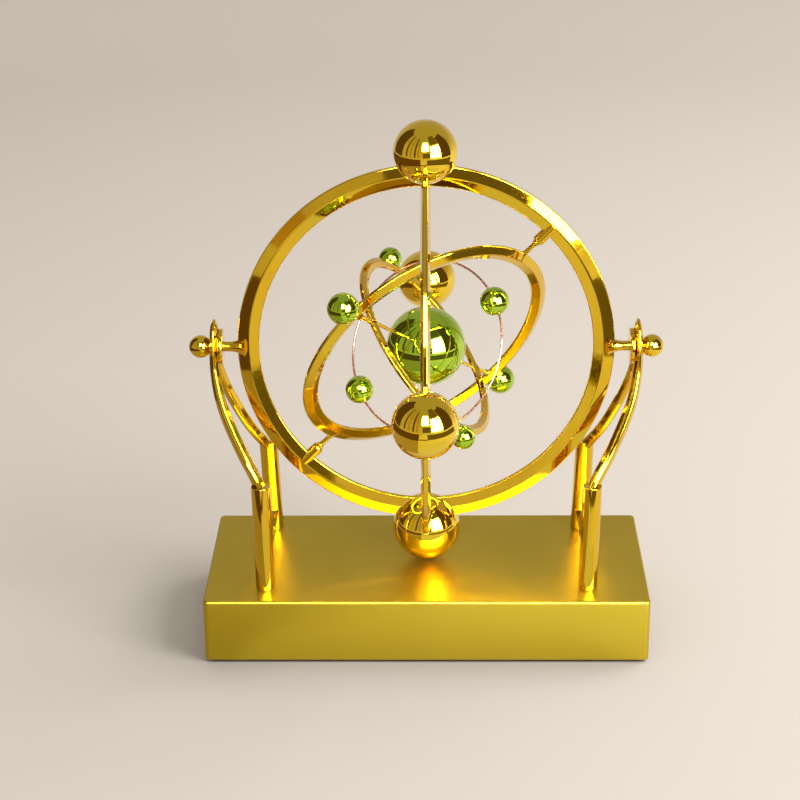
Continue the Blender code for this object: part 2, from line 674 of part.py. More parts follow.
def make_inner(gold, green, copper, parent):
    mesh = ridged_ring("inner_ring", INNER_OUTER, INNER_BAND, INNER_THICKNESS, INNER_EDGE, 44)
    add_object("inner_ring", mesh, gold, parent, frame_along(HUB, INNER_NORMAL, CROSS_AXIS))
    inner = INNER_OUTER - INNER_BAND
    along = frame_along(HUB, CROSS_AXIS)
    add_object("centre_rod", rod("centre_rod", ROD_RADIUS, GAP - inner, inner - GAP, 12), gold, parent, along)
    centre = add_object("centre_ball", ball("centre_ball", CENTRE_BALL_RADIUS, 20), green, parent, along)
    cut(centre, rod("centre_bore", ROD_RADIUS + GAP, -0.03, 0.03, 10), along)
    for sign, where in ((1, "near"), (-1, "far")):
        pin = [
            (0, INNER_OUTER + GAP), (PIN_RADIUS, INNER_OUTER + GAP),
            (PIN_RADIUS, MIDDLE_OUTER - MIDDLE_BAND - GAP), (PIN_TIP_RADIUS, MIDDLE_OUTER - MIDDLE_BAND - GAP),
            (PIN_TIP_RADIUS, MIDDLE_OUTER - MIDDLE_BAND + 1.6 * MM), (0, MIDDLE_OUTER - MIDDLE_BAND + 1.8 * MM),
        ]
        add_object(f"{where}_inner_pin", turned(f"{where}_inner_pin", pin, 10), gold, parent,
                   frame_along(HUB, CROSS_AXIS * sign))
    for sign, where in ((1, "rear"), (-1, "front")):
        slotted_ball(f"{where}_edge_ball", green, parent, frame_along(HUB, TILT_AXIS * sign, INNER_NORMAL),
                     SMALL_BALL_ORBIT, SMALL_BALL_RADIUS, INNER_THICKNESS / 2 + GAP, INNER_OUTER + GAP)
    make_wire(copper, parent)
    for sign, where in ((1, "lower"), (-1, "upper")):
        place = frame_along(HUB + INNER_NORMAL * sign * WIRE_BALL_ORBIT, TILT_AXIS, INNER_NORMAL)
        item = add_object(f"{where}_wire_ball", ball("wire_ball", WIRE_BALL_RADIUS, 12), green, parent, place)
        drift = (WIRE_SHORT - WIRE_BALL_ORBIT) * sign - 0.25 * MM * sign
        bore = rod("wire_bore", 1.2 * MM, -0.01, 0.01, 10)
        cut(item, bore, place @ Matrix.Translation((drift, 0, 0)))


def make_wire(look, parent):
    """A closed wire loop across the inner ring, a little longer along the inner ring's tilt axis."""
    bm = bmesh.new()
    loops = []
    steps = 48
    sides = 5
    for step in range(steps):
        angle = math.tau * step / steps
        centre = Vector((WIRE_LONG * math.cos(angle), WIRE_SHORT * math.sin(angle), 0))
        outward = Vector((WIRE_SHORT * math.cos(angle), WIRE_LONG * math.sin(angle), 0)).normalized()
        loops.append([
            bm.verts.new(centre + outward * WIRE_RADIUS * math.cos(math.tau * k / sides)
                         + Z_AXIS * WIRE_RADIUS * math.sin(math.tau * k / sides))
            for k in range(sides)
        ])
    for step in range(steps):
        here = loops[step]
        there = loops[(step + 1) % steps]
        for k in range(sides):
            following = (k + 1) % sides
            bm.faces.new((here[k], here[following], there[following], there[k]))
    add_object("wire_orbit", to_mesh("wire_orbit", bm), look, parent, frame_along(HUB, CROSS_AXIS, TILT_AXIS))


# ---------------------------------------------------------------- assembly

def build():
    clear_scene()
    gold = material("plated_gold", (0.83, 0.62, 0.10), 0.06, 1.0)
    satin = material("satin_gold", (0.62, 0.47, 0.09), 0.38, 1.0)
    green = material("plated_green", (0.32, 0.58, 0.05), 0.08, 1.0)
    copper = material("copper_wire", (0.72, 0.35, 0.28), 0.25, 1.0)
    steel = material("steel", (0.55, 0.55, 0.56), 0.3, 1.0)
    black = material("black_plastic", (0.03, 0.03, 0.03), 0.5, 0.0)
    rubber = material("black_rubber", (0.02, 0.02, 0.02), 0.8, 0.0)
    board = material("circuit_board", (0.03, 0.2, 0.08), 0.5, 0.0)
    casing = material("battery_case", (0.06, 0.06, 0.07), 0.35, 0.3)

    make_housing(satin)
    make_plate(black)
    make_screws(steel)
    make_feet(rubber)
    make_coil(black, copper, steel)
    make_electronics(board, black, casing)
    make_posts(gold)
    make_arches(gold, gold)

    door_slide = pivot("door_slide", (DOOR_X, 0, BASE_BOTTOM), X_AXIS)
    make_door(black, door_slide)
    rotor_spin = pivot("rotor_spin", HUB, X_AXIS)
    middle_spin = pivot("middle_spin", HUB, DIAGONAL_AXIS, rotor_spin)
    inner_spin = pivot("inner_spin", HUB, CROSS_AXIS, middle_spin)
    make_rotor(gold, steel, rotor_spin)
    make_middle(gold, green, middle_spin)
    make_inner(gold, green, copper, inner_spin)


build()
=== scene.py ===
"""Looks for the desk kinetic sculpture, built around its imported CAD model.

Metres, +Z up.  The origin is on the table under the middle of the base.  X runs along the
rotor's axle, and -Y is the front.  Each finished piece rides on the CAD body that it belongs
to, and replaces the CAD node that it stands for.
"""

import json
import math

import bmesh
import bpy
from mathutils import Matrix, Vector


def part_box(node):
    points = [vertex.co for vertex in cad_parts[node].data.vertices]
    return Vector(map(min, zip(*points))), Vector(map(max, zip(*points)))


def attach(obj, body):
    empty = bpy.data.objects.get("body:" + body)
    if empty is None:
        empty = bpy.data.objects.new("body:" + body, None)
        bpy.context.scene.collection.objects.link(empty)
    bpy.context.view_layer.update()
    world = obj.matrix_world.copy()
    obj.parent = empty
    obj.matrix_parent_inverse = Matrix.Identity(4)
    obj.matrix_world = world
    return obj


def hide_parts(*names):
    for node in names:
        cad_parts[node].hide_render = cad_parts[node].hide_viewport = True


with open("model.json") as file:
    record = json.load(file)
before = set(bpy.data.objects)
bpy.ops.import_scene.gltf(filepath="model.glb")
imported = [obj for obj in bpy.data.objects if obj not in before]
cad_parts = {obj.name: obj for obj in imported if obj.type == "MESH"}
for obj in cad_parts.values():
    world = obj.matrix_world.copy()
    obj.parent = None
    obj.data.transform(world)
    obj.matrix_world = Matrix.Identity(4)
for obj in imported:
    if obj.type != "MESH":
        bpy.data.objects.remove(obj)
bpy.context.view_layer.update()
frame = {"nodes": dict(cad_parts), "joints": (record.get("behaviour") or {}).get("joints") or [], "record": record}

MM = 0.001
CLEARANCE = 0.1 * MM
# Corners of a closed outline are rounded unless they are exactly on its axis
OFF_AXIS = 0.01 * MM

# Base
BASE_CORNER = 2.4 * MM
BASE_EDGE = 1.2 * MM
BASE_RIM = 0.35 * MM
WALL = 1.6 * MM

# Posts and arches
POST_RADIUS = 4.3 * MM
SPUR_HEIGHT = 16 * MM
SPUR_REACH = 19 * MM
POST_LEAN = 5.5 * MM
POST_SPLAY = 1.2 * MM
ARM_WIDTH = 5.8 * MM
ARM_THICKNESS = 3.6 * MM
ARM_FOOT_THICKNESS = 5.6 * MM
EYE_RADIUS = 7 * MM
EYE_INSIDE = 93.2 * MM
EYE_OUTSIDE = 95.8 * MM
SLEEVE_WALL = 1.4 * MM
SLEEVE_END = 95.6 * MM

# Rotor
RING_OUTER = 84 * MM
RING_BAND = 9.6 * MM
RING_THICKNESS = 4.2 * MM
RING_EDGE = 2.1 * MM
RING_SIZES = (RING_OUTER, RING_BAND, RING_THICKNESS, RING_EDGE)
BALL_RADIUS = 14 * MM
BALL_ORBIT = 89.5 * MM
BOTTOM_BALL_RADIUS = 15.4 * MM
BOTTOM_BALL_ORBIT = 88.9 * MM
AXLE_RADIUS = 2.2 * MM
FLARE_RADIUS = 4.7 * MM
FLARE_START = 81 * MM
FLARE_END = 88 * MM
FLANGE_RADIUS = 8 * MM
FLANGE_INSIDE = 90.5 * MM
FLANGE_OUTSIDE = 92.8 * MM
KNOB_X = 100.7 * MM
KNOB_RADIUS = 5.1 * MM

# Middle ring
MIDDLE_OUTER = 61.4 * MM
MIDDLE_BAND = 7 * MM
MIDDLE_THICKNESS = 4.4 * MM
MIDDLE_EDGE = 1.4 * MM
SOCKET_RADIUS = 2.6 * MM
SOCKET_START = 68.8 * MM
PIN_RADIUS = 1.1 * MM
RIM_BALL_ORBIT = 66.9 * MM
RIM_BALL_RADIUS = 6.85 * MM

# Inner ring
INNER_OUTER = 46 * MM
INNER_BAND = 5 * MM
INNER_THICKNESS = 3 * MM
INNER_EDGE = 1.4 * MM
SMALL_BALL_ORBIT = 48.2 * MM
SMALL_BALL_RADIUS = 5.25 * MM
WIRE_SHORT = 38.6 * MM
WIRE_LONG = 40.2 * MM
WIRE_RADIUS = 0.5 * MM
WIRE_BALL_ORBIT = 38.4 * MM
WIRE_BALL_RADIUS = 6.4 * MM
CENTRE_BALL_RADIUS = 17.7 * MM
ROD_RADIUS = 0.8 * MM
INNER_TURN = math.radians(79)

# Room
FLOOR_RADIUS = 1.05
COVE_RADIUS = 0.65
WALL_TOP = 1.25
FLOOR_COLOUR = (0.77, 0.72, 0.66)
WALL_COLOUR = (0.65, 0.61, 0.57)

X_AXIS = Vector((1, 0, 0))
Y_AXIS = Vector((0, 1, 0))
Z_AXIS = Vector((0, 0, 1))

SLOTS = {subpart["node"]: subpart["material_slot"] for subpart in frame["record"]["subparts"]}
JOINTS = {joint["name"]: joint for joint in frame["joints"]}
HUB = Vector(JOINTS["rotor_spin"]["pos_m"])
DIAGONAL_AXIS = Vector(JOINTS["middle_spin"]["axis"])
CROSS_AXIS = Vector(JOINTS["inner_spin"]["axis"])
MIDDLE_NORMAL = DIAGONAL_AXIS.cross(CROSS_AXIS)
TILT_AXIS = DIAGONAL_AXIS * math.cos(INNER_TURN) - MIDDLE_NORMAL * math.sin(INNER_TURN)
INNER_NORMAL = CROSS_AXIS.cross(TILT_AXIS)

BASE_LOW, BASE_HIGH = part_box("base_housing")
BASE_TOP = BASE_HIGH.z
POST_NAMES = ("left_front_post", "right_front_post", "left_rear_post", "right_rear_post")
FOOT_NAMES = ("front_left_foot", "front_right_foot", "rear_left_foot", "rear_right_foot")


# ---------------------------------------------------------------- placing and joining

def frame_along(point, axis, side=None):
    """A placing whose local Z runs along axis, and whose local X is near side."""
    up = Vector(axis).normalized()
    guess = Vector(side) if side else (X_AXIS if abs(up.x) < 0.9 else Y_AXIS)
    across = (guess - up * guess.dot(up)).normalized()
    turn = Matrix((across, up.cross(across), up)).transposed().to_4x4()
    return Matrix.Translation(point) @ turn


def piece(name, mesh, look, body, nodes):
    """Add a finished mesh to its body, in place of the CAD nodes that it stands for."""
    item = bpy.data.objects.new(name, mesh)
    bpy.context.scene.collection.objects.link(item)
    mesh.materials.clear()
    mesh.materials.append(look)
    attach(item, body)
    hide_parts(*nodes)
    return item


def to_mesh(name, bm, place=None):
    """A smooth-shaded mesh from a bmesh, moved by its placing."""
    bmesh.ops.recalc_face_normals(bm, faces=bm.faces)
    mesh = bpy.data.meshes.new(name)
    bm.to_mesh(mesh)
    bm.free()
    mesh.shade_smooth()
    if place:
        mesh.transform(place)
    return mesh


def joined(name, *meshes):
    """One mesh that holds several."""
    bm = bmesh.new()
    for mesh in meshes:
        bm.from_mesh(mesh)
    mesh = bpy.data.meshes.new(name)
    bm.to_mesh(mesh)
    bm.free()
    mesh.shade_smooth()
    return mesh


def carved(mesh, cutters):
    """A mesh with each cutter mesh cut out of it."""
    item = bpy.data.objects.new("work", mesh)
    bpy.context.scene.collection.objects.link(item)
    guides = []
    for cutter in cutters:
        guide = bpy.data.objects.new("guide", cutter)
        bpy.context.scene.collection.objects.link(guide)
        change = item.modifiers.new("Cut", "BOOLEAN")
        change.operation = "DIFFERENCE"
        change.solver = "EXACT"
        change.object = guide
        guides.append(guide)
    depsgraph = bpy.context.evaluated_depsgraph_get()
    done = bpy.data.meshes.new_from_object(item.evaluated_get(depsgraph))
    for work in (item, *guides):
        bpy.data.objects.remove(work)
    done.shade_smooth()
    done.set_sharp_from_angle(angle=math.radians(35))
    return done


def round_off(mesh, centre):
    """Shade the round faces of a ball as a true sphere, and its cut faces flat."""
    mesh.shade_smooth()
    normals = []
    for face in mesh.polygons:
        outward = (face.center - centre).normalized()
        is_round = face.normal.dot(outward) > 0.99
        for corner in face.loop_indices:
            point = mesh.vertices[mesh.loops[corner].vertex_index].co
            normals.append((point - centre).normalized() if is_round else face.normal.copy())
    mesh.normals_split_custom_set(normals)
    return mesh


# ---------------------------------------------------------------- mesh makers

def softened(outline, radius, steps=4):
    """A closed outline with its corners rounded, except those on the axis."""
    soft = []
    count = len(outline)
    for place in range(count):
        corner = Vector(outline[place])
        if corner.x == 0:
            soft.append(corner)
            continue
        before = Vector(outline[place - 1]) - corner
        after = Vector(outline[(place + 1) % count]) - corner
        reach = min(radius, 0.45 * before.length, 0.45 * after.length)
        start = corner + before.normalized() * reach
        end = corner + after.normalized() * reach
        soft.append(corner + before.normalized() * reach * 1.1)
        for step in range(steps + 1):
            t = step / steps
            soft.append(start * (1 - t) ** 2 + corner * 2 * t * (1 - t) + end * t ** 2)
        soft.append(corner + after.normalized() * reach * 1.1)
    return soft


def turned(name, profile, segments, place=None):
    """A closed outline of (radius, height) points turned about local Z."""
    bm = bmesh.new()
    poles = [bm.verts.new((0, 0, height)) if radius == 0 else None for radius, height in profile]
    columns = []
    for step in range(segments):
        angle = math.tau * step / segments
        columns.append([
            pole or bm.verts.new((radius * math.cos(angle), radius * math.sin(angle), height))
            for pole, (radius, height) in zip(poles, profile)
        ])
    count = len(profile)
    for step in range(segments):
        here = columns[step]
        there = columns[(step + 1) % segments]
        for row in range(count):
            following = (row + 1) % count
            corners = []
            for vert in (here[row], there[row], there[following], here[following]):
                if vert not in corners:
                    corners.append(vert)
            if len(corners) >= 3:
                bm.faces.new(corners)
    return to_mesh(name, bm, place)


def rod(name, radius, low, high, place):
    """A round rod between two heights along its placing's Z."""
    outline = [(0, low), (radius, low), (radius, high), (0, high)]
    return turned(name, softened(outline, 0.15 * MM), 48, place)


def ball(name, radius, centre, cutters=()):
    """A ball about centre, with any cutter meshes cut out of it."""
    rows = 48
    profile = []
    for row in range(rows + 1):
        angle = math.pi * row / rows
        reach = 0 if row in (0, rows) else radius * math.sin(angle)
        profile.append((reach, -radius * math.cos(angle)))
    mesh = turned(name, profile, 2 * rows, Matrix.Translation(centre))
    if cutters:
        mesh = carved(mesh, cutters)
    return round_off(mesh, centre)


def ring_outline(outer, band, thickness, edge, grow=0.0):
    """A flat band's section, thickest along a ridge in its middle and edge thick at its rims."""
    inner = outer - band
    middle = outer - band / 2
    rim = edge / 2 + grow
    ridge = thickness / 2 + grow
    return [
        (outer + grow, -rim), (outer + grow, rim), (middle, ridge),
        (inner - grow, rim), (inner - grow, -rim), (middle, -ridge),
    ]


def looped(bm, loops, closed):
    """Join loops of vertices side by side, with caps at both ends unless the chain is closed."""
    pairs = zip(loops, loops[1:] + loops[:1]) if closed else zip(loops, loops[1:])
    for lower, upper in pairs:
        for step in range(len(lower)):
            following = (step + 1) % len(lower)
            bm.faces.new((lower[step], lower[following], upper[following], upper[step]))
    if not closed:
        bm.faces.new(list(reversed(loops[0])))
        bm.faces.new(loops[-1])


def swept(name, frames, section):
    """A closed section carried through frames of (share, point, across, outward)."""
    bm = bmesh.new()
    loops = [
        [bm.verts.new(point + across * u + outward * v) for u, v in section(share)]
        for share, point, across, outward in frames
    ]
    looped(bm, loops, False)
    return to_mesh(name, bm)


def smooth_curve(points, steps):
    """A smooth curve through the given points, with steps stretches between each two."""
    guides = [points[0] * 2 - points[1], *points, points[-1] * 2 - points[-2]]
    curve = []
    for before, start, end, after in zip(guides, guides[1:], guides[2:], guides[3:]):
        for step in range(steps):
            t = step / steps
            curve.append(
                0.5 * (2 * start + (end - before) * t
                       + (2 * before - 5 * start + 4 * end - after) * t ** 2
                       + (3 * start - before - 3 * end + after) * t ** 3)
            )
    curve.append(points[-1])
    return curve


def rounded_outline(length, depth, radius, steps=10):
    """A rectangle about the origin with rounded corners."""
    points = []
    for quarter in range(4):
        across = 1 if quarter in (0, 3) else -1
        along = 1 if quarter in (0, 1) else -1
        for step in range(steps + 1):
            angle = math.radians(90) * (quarter + step / steps)
            points.append((
                across * (length / 2 - radius) + radius * math.cos(angle),
                along * (depth / 2 - radius) + radius * math.sin(angle),
            ))
    return points


# ---------------------------------------------------------------- materials

def new_material(name, roughness, metallic):
    """A new look and its main shader."""
    look = bpy.data.materials.new(name)
    look.use_nodes = True
    shader = look.node_tree.nodes["Principled BSDF"]
    shader.inputs["Roughness"].default_value = roughness
    shader.inputs["Metallic"].default_value = metallic
    return look, shader


def add_noise(look, scale, detail, stretch=(1, 1, 1)):
    """A noise texture fixed to the piece, in features per metre."""
    nodes = look.node_tree.nodes
    links = look.node_tree.links
    place = nodes.new("ShaderNodeTexCoord")
    mapping = nodes.new("ShaderNodeMapping")
    mapping.inputs["Scale"].default_value = stretch
    noise = nodes.new("ShaderNodeTexNoise")
    noise.inputs["Scale"].default_value = scale
    noise.inputs["Detail"].default_value = detail
    links.new(place.outputs["Object"], mapping.inputs["Vector"])
    links.new(mapping.outputs["Vector"], noise.inputs["Vector"])
    return noise.outputs["Fac"]


def vary_colour(look, shader, factor, dark, light):
    """Blend the colour from dark to light with a noise factor."""
    ramp = look.node_tree.nodes.new("ShaderNodeValToRGB")
    ramp.color_ramp.elements[0].position = 0.3
    ramp.color_ramp.elements[0].color = (*dark, 1)
    ramp.color_ramp.elements[1].position = 0.7
    ramp.color_ramp.elements[1].color = (*light, 1)
    look.node_tree.links.new(factor, ramp.inputs["Fac"])
    look.node_tree.links.new(ramp.outputs["Color"], shader.inputs["Base Color"])


def vary_roughness(look, shader, factor, low, high):
    """Blend the roughness from low to high with a noise factor."""
    spread = look.node_tree.nodes.new("ShaderNodeMapRange")
    spread.inputs["From Min"].default_value = 0.3
    spread.inputs["From Max"].default_value = 0.7
    spread.inputs["To Min"].default_value = low
    spread.inputs["To Max"].default_value = high
    look.node_tree.links.new(factor, spread.inputs["Value"])
    look.node_tree.links.new(spread.outputs["Result"], shader.inputs["Roughness"])


def add_bump(look, shader, factor, height, under=None):
    """Small relief of the given height, laid over any relief under it."""
    bump = look.node_tree.nodes.new("ShaderNodeBump")
    bump.inputs["Distance"].default_value = height
    bump.inputs["Strength"].default_value = 1.0
    look.node_tree.links.new(factor, bump.inputs["Height"])
    if under:
        look.node_tree.links.new(under, bump.inputs["Normal"])
    look.node_tree.links.new(bump.outputs["Normal"], shader.inputs["Normal"])
    return bump.outputs["Normal"]


def plated(name, dark, light, waviness, coat):
    """Bright plating under clear lacquer: gently wavy, with faint polishing marks."""
    look, shader = new_material(name, 0.05, 1.0)
    shader.inputs["Coat Weight"].default_value = coat
    shader.inputs["Coat Roughness"].default_value = 0.02
    broad = add_noise(look, 38, 1.5)
    fine = add_noise(look, 420, 3)
    vary_colour(look, shader, broad, dark, light)
    vary_roughness(look, shader, fine, 0.03, 0.07)
    wave = add_bump(look, shader, broad, waviness)
    add_bump(look, shader, fine, 0.002 * MM, under=wave)
    return look


def satin(name, dark, light):
    """Metallic paint with a fine even grain."""
    look, shader = new_material(name, 0.32, 1.0)
    broad = add_noise(look, 14, 2)
    grain = add_noise(look, 5200, 2)
    vary_colour(look, shader, broad, dark, light)
    vary_roughness(look, shader, grain, 0.34, 0.43)
    add_bump(look, shader, grain, 0.012 * MM)
    return look


def moulded(name, dark, light, grain_scale, grain_height, roughness, metallic=0.0):
    """Plastic, rubber or plain metal with a fine surface grain."""
    look, shader = new_material(name, roughness, metallic)
    grain = add_noise(look, grain_scale, 4)
    vary_colour(look, shader, grain, dark, light)
    vary_roughness(look, shader, grain, roughness - 0.06, roughness + 0.06)
    add_bump(look, shader, grain, grain_height)
    return look


def wound(name, dark, light):
    """Fine enamelled wire laid in turns, level with the coil."""
    look, shader = new_material(name, 0.25, 1.0)
    turns = add_noise(look, 90, 1, (1, 1, 45))
    vary_colour(look, shader, turns, dark, light)
    vary_roughness(look, shader, turns, 0.2, 0.34)
    add_bump(look, shader, turns, 0.08 * MM)
    return look


def make_looks():
    """Every look by its material slot's name, and one for the coil's winding."""
    return {
        "satin_gold": satin("satin_gold", (0.55, 0.41, 0.028), (0.61, 0.46, 0.038)),
        "plated_gold": plated("plated_gold", (0.79, 0.50, 0.006), (0.86, 0.57, 0.012), 0.07 * MM, 0.5),
        "plated_gold_ball": plated(
            "plated_gold_ball", (0.92, 0.61, 0.008), (0.97, 0.68, 0.015), 0.02 * MM, 0.6),
        "plated_green": plated("plated_green", (0.43, 0.69, 0.012), (0.49, 0.77, 0.025), 0.02 * MM, 0.7),
        "copper": moulded("copper", (0.62, 0.30, 0.25), (0.78, 0.42, 0.36), 900, 0.004 * MM, 0.24, 1.0),
        "coil_copper": wound("coil_copper", (0.52, 0.20, 0.10), (0.80, 0.36, 0.20)),
        "steel": moulded("steel", (0.46, 0.46, 0.47), (0.62, 0.62, 0.63), 1400, 0.006 * MM, 0.3, 1.0),
        "black_plastic": moulded(
            "black_plastic", (0.016, 0.016, 0.017), (0.034, 0.034, 0.035), 2600, 0.03 * MM, 0.52),
        "black_rubber": moulded(
            "black_rubber", (0.012, 0.012, 0.012), (0.028, 0.027, 0.026), 1600, 0.05 * MM, 0.78),
        "circuit_board": moulded(
            "circuit_board", (0.012, 0.12, 0.045), (0.03, 0.22, 0.08), 500, 0.01 * MM, 0.4),
        "battery_case": moulded(
            "battery_case", (0.03, 0.03, 0.035), (0.08, 0.08, 0.09), 700, 0.01 * MM, 0.3, 0.6),
    }


# ---------------------------------------------------------------- base, posts and arches

def make_housing(looks):
    """A folded shell: ceiling, inner wall, bottom rim, outer wall, rounded top edge and top."""
    length = BASE_HIGH.x - BASE_LOW.x
    depth = BASE_HIGH.y - BASE_LOW.y
    course = [
        (WALL, BASE_TOP - WALL), (WALL, BASE_LOW.z + BASE_RIM), (WALL - 0.1 * MM, BASE_LOW.z),
        (BASE_RIM, BASE_LOW.z),
    ]
    for step in range(4):
        angle = math.radians(30 * step)
        course.append((BASE_RIM * (1 - math.sin(angle)), BASE_LOW.z + BASE_RIM * (1 - math.cos(angle))))
    course.append((0, BASE_TOP - 1.1 * BASE_EDGE))
    for step in range(9):
        angle = math.radians(90 * step / 8)
        course.append((BASE_EDGE * (1 - math.cos(angle)), BASE_TOP - BASE_EDGE * (1 - math.sin(angle))))
    course.append((1.2 * BASE_EDGE, BASE_TOP))
    bm = bmesh.new()
    loops = []
    for inset, height in course:
        outline = rounded_outline(length - 2 * inset, depth - 2 * inset, BASE_CORNER - inset)
        loops.append([bm.verts.new((x, y, height)) for x, y in outline])
    looped(bm, loops, False)
    piece("housing", to_mesh("housing", bm), looks["satin_gold"], "base", ["base_housing"])


def make_feet(looks):
    """Thin round pads, each with a shallow dish in its underside."""
    for name in FOOT_NAMES:
        low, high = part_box(name)
        radius = (high.x - low.x) / 2
        outline = [
            (0, low.z + 0.3 * MM), (radius * 0.55, low.z + 0.3 * MM), (radius * 0.62, low.z),
            (radius, low.z), (radius * 0.96, high.z), (0, high.z),
        ]
        place = Matrix.Translation(((low.x + high.x) / 2, (low.y + high.y) / 2, 0))
        mesh = turned(name + "_pad", softened(outline, 0.2 * MM), 64, place)
        piece(name + "_pad", mesh, looks["black_rubber"], "base", [name])


def spur_mesh(row, post_y):
    """A blade from the foot of a post to a point on the base."""
    frames = []
    steps = 24
    for step in range(steps + 1):
        share = step / steps
        y = post_y - SPUR_REACH * share
        z = BASE_TOP + 0.9 * MM + SPUR_HEIGHT * (1 - share) ** 1.35
        frames.append((share, Vector((0, row * y, z)), X_AXIS, Vector((0, row * 0.45, 0.9))))

    def section(share):
        half = 3.0 * MM * (1 - share) + 0.35 * MM
        rise = 2.2 * MM * (1 - share) + 0.35 * MM
        return softened([(half, 0), (OFF_AXIS, rise), (-half, 0), (OFF_AXIS, -rise)], 0.4 * MM, 3)

    return swept("spur", frames, section)


def make_posts(looks):
    """Leaning round posts, each with its spur on the base."""
    for name in POST_NAMES:
        low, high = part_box(name)
        x = (abs(low.x) + abs(high.x)) / 2 * (1 if high.x > 0 else -1)
        row = 1 if high.y > 0 else -1
        y = max(abs(low.y), abs(high.y)) - POST_RADIUS
        top = high.z
        outline = [
            (0, BASE_TOP + CLEARANCE), (POST_RADIUS - 0.6 * MM, BASE_TOP + CLEARANCE),
            (POST_RADIUS - 0.6 * MM, BASE_TOP + 0.7 * MM), (POST_RADIUS, BASE_TOP + 0.7 * MM),
            (POST_RADIUS, top), (0, top),
        ]
        column = turned("column", softened(outline, 0.2 * MM), 96, Matrix.Translation((x, row * y, 0)))
        for vert in column.vertices:
            share = (vert.co.z - BASE_TOP) / (top - BASE_TOP)
            vert.co.x += math.copysign(POST_SPLAY, x) * share
            vert.co.y -= row * POST_LEAN * share
        spur = spur_mesh(row, y)
        spur.transform(Matrix.Translation((x, 0, 0)))
        piece(name + "_plated", joined(name + "_plated", column, spur), looks["plated_gold"], "base", [name])


# Height about the axle, distance out along X and distance from the middle plane, in millimetres
ARM_POINTS = (
    (-60.0, 73.4, 25.8),
    (-54.0, 76.9, 21.2),
    (-46.0, 81.6, 17.4),
    (-34.0, 87.2, 14.0),
    (-22.0, 91.6, 10.8),
    (-10.0, 94.0, 6.9),
    (0.0, 94.5, 5.6),
    (6.9, 94.4, 3.6),
    (9.8, 94.3, 0.0),
)


def arm_frames(steps):
    """Frames along one arch, from its front foot over the axle to its rear foot."""
    rising = [Vector((reach * MM, -y * MM, z * MM)) for z, reach, y in ARM_POINTS]
    falling = [Vector((point.x, -point.y, point.z)) for point in reversed(rising[:-1])]
    path = smooth_curve(rising + falling, steps)
    last = len(path) - 1
    frames = []
    for step, point in enumerate(path):
        along = (path[min(step + 1, last)] - path[max(step - 1, 0)]).normalized()
        outward = (X_AXIS - along * along.x).normalized()
        frames.append((step / last, point + HUB, along.cross(outward), outward))
    return frames


def arm_section(share):
    """Thin across the eye at the top, and nearly round at the feet."""
    low = abs(2 * share - 1)
    growth = min(max((low - 0.2) / 0.4, 0), 1)
    half = ARM_WIDTH / 2
    full = (ARM_THICKNESS + (ARM_FOOT_THICKNESS - ARM_THICKNESS) * growth) / 2
    edge = (0.5 + 0.6 * growth) * MM
    outline = [
        (half, -edge), (half, edge), (OFF_AXIS, full),
        (-half, edge), (-half, -edge), (OFF_AXIS, -full),
    ]
    return softened(outline, 0.7 * MM, 4)


def make_arches(looks):
    """A curved arm with a flat eye at its top, and a flanged bush in the eye, on each side."""
    sleeve = AXLE_RADIUS + SLEEVE_WALL
    eye_bore = sleeve + 2 * CLEARANCE
    bush_bore = AXLE_RADIUS + CLEARANCE
    eye_outline = [
        (eye_bore, EYE_INSIDE), (EYE_RADIUS, EYE_INSIDE), (EYE_RADIUS, EYE_OUTSIDE), (eye_bore, EYE_OUTSIDE),
    ]
    bush_outline = [
        (bush_bore, FLANGE_INSIDE), (FLANGE_RADIUS, FLANGE_INSIDE), (FLANGE_RADIUS, FLANGE_OUTSIDE),
        (sleeve, FLANGE_OUTSIDE), (sleeve, SLEEVE_END), (bush_bore, SLEEVE_END),
    ]
    for side, name in ((-1, "left"), (1, "right")):
        turn = Matrix.Rotation(math.pi if side < 0 else 0, 4, "Z")
        arm = swept("arm", arm_frames(8), arm_section)
        arm.transform(turn)
        along = turn @ frame_along(HUB, X_AXIS)
        eye = turned("eye", softened(eye_outline, 0.9 * MM, 6), 96, along)
        piece(f"{name}_arch_plated", joined(f"{name}_arch_plated", arm, eye), looks["plated_gold"],
              "base", [f"{name}_arch"])
        bush = turned("bush", softened(bush_outline, 0.9 * MM), 96, along)
        piece(f"{name}_bearing_plated", bush, looks["plated_gold"], "base", [f"{name}_bearing"])


# ---------------------------------------------------------------- rotor

def ring_cutter(outer, band, thickness, edge, place):
    """A ring a little larger than the real one, to cut its seat in another mesh."""
    return turned("cutter", ring_outline(outer, band, thickness, edge, CLEARANCE), 160, place)


